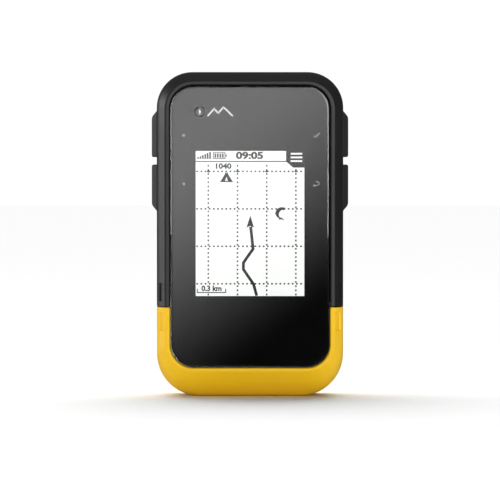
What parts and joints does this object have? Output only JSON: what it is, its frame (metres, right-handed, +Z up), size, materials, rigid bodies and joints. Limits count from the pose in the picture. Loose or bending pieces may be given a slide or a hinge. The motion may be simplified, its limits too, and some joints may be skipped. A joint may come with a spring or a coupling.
{
  "type": "handheld satellite navigator",
  "caption": "Rugged handheld satellite navigator: tall glass front, side keys, dark case with a coloured rubber lower bumper, latched battery cover with a mounting spine at the back.",
  "frame": {"origin": "centre of the bounding box's bottom face, on the flat foot of the case", "axes": "+Z up along the tall screen, -Y out of the screen, +X to the right of someone facing the screen"},
  "size_m": [0.0618, 0.033, 0.102],
  "materials": {
    "case_plastic": "fine moulded grain",
    "bumper_rubber": "satin, moulded over the case",
    "window_glass": "polished, printed black behind",
    "key_rubber": "matt, fine grain",
    "seal_rubber": "smooth",
    "adhesive_tape": "matt",
    "display_glass": "polished",
    "light_guide": "clear, frosted back",
    "flex_film": "smooth film",
    "circuit_board": "solder mask over copper",
    "component_plastic": "moulded",
    "antenna_ceramic": "fired, unglazed",
    "plated_steel": "tin plated",
    "contact_metal": "nickel plated",
    "screw_steel": "zinc plated",
    "latch_steel": "polished wire and plate",
    "cell_wrap": "printed film over a steel can"
  },
  "bodies": {
    "housing": {"back_switch": "component_plastic", "backlight": "light_guide", "battery_left": "cell_wrap", "battery_right": "cell_wrap", "board_header": "component_plastic", "board_screw_left_1": "screw_steel", "board_screw_left_2": "screw_steel", "board_screw_right_1": "screw_steel", "board_screw_right_2": "screw_steel", "case_screw_left_1": "screw_steel", "case_screw_left_2": "screw_steel", "case_screw_right_1": "screw_steel", "case_screw_right_2": "screw_steel", "contact_bridge": "contact_metal", "contact_plate_top": "contact_metal", "contact_spring_top": "contact_metal", "display_flex": "flex_film", "display_panel": "display_glass", "down_switch": "component_plastic", "front_housing": "case_plastic", "gnss_antenna": "antenna_ceramic", "housing_seal": "seal_rubber", "lower_bumper": "bumper_rubber", "main_board": "circuit_board", "ok_switch": "component_plastic", "power_shield": "plated_steel", "power_switch": "component_plastic", "processor_shield": "plated_steel", "rear_housing": "case_plastic", "up_switch": "component_plastic", "usb_board": "circuit_board", "usb_cap_anchor": "key_rubber", "usb_connector": "plated_steel", "window": "window_glass", "window_tape": "adhesive_tape"},
    "up_key": {"up_key": "key_rubber"},
    "down_key": {"down_key": "key_rubber"},
    "ok_key": {"ok_key": "key_rubber"},
    "back_key": {"back_key": "key_rubber"},
    "power_key": {"power_key": "key_rubber"},
    "cover": {"battery_cover": "case_plastic", "cover_seal": "seal_rubber"},
    "latch": {"latch_hub": "case_plastic", "latch_cam": "latch_steel", "latch_seal": "seal_rubber", "latch_screw": "screw_steel"},
    "latch_bail": {"latch_ring": "latch_steel"},
    "usb_flap": {"usb_cap": "key_rubber"}
  },
  "joints": [
    {"name": "up_key_press", "type": "slide", "parent": "housing", "child": "up_key", "axis": [1, 0, 0], "range_m": [0, 0.0005], "stiffness_N_per_m": 4000},
    {"name": "down_key_press", "type": "slide", "parent": "housing", "child": "down_key", "axis": [1, 0, 0], "range_m": [0, 0.0005], "stiffness_N_per_m": 4000},
    {"name": "ok_key_press", "type": "slide", "parent": "housing", "child": "ok_key", "axis": [-1, 0, 0], "range_m": [0, 0.0005], "stiffness_N_per_m": 4000},
    {"name": "back_key_press", "type": "slide", "parent": "housing", "child": "back_key", "axis": [-1, 0, 0], "range_m": [0, 0.0005], "stiffness_N_per_m": 4000},
    {"name": "power_key_press", "type": "slide", "parent": "housing", "child": "power_key", "axis": [-1, 0, 0], "range_m": [0, 0.0005], "stiffness_N_per_m": 4000},
    {"name": "cover_lift", "type": "slide", "parent": "housing", "child": "cover", "axis": [0, 1, 0], "range_m": [0, 0.06]},
    {"name": "latch_turn", "type": "hinge", "parent": "cover", "child": "latch", "pos_m": [0, 0.009, 0.0148], "axis": [0, 1, 0], "range_deg": [0, 90]},
    {"name": "ring_fold", "type": "hinge", "parent": "latch", "child": "latch_bail", "pos_m": [0, 0.0108, 0.0148], "axis": [1, 0, 0], "range_deg": [0, 100]},
    {"name": "usb_flap_open", "type": "hinge", "parent": "housing", "child": "usb_flap", "pos_m": [-0.00865, 0.0096, 0.0912], "axis": [0, 0, 1], "range_deg": [0, 105]}
  ]
}
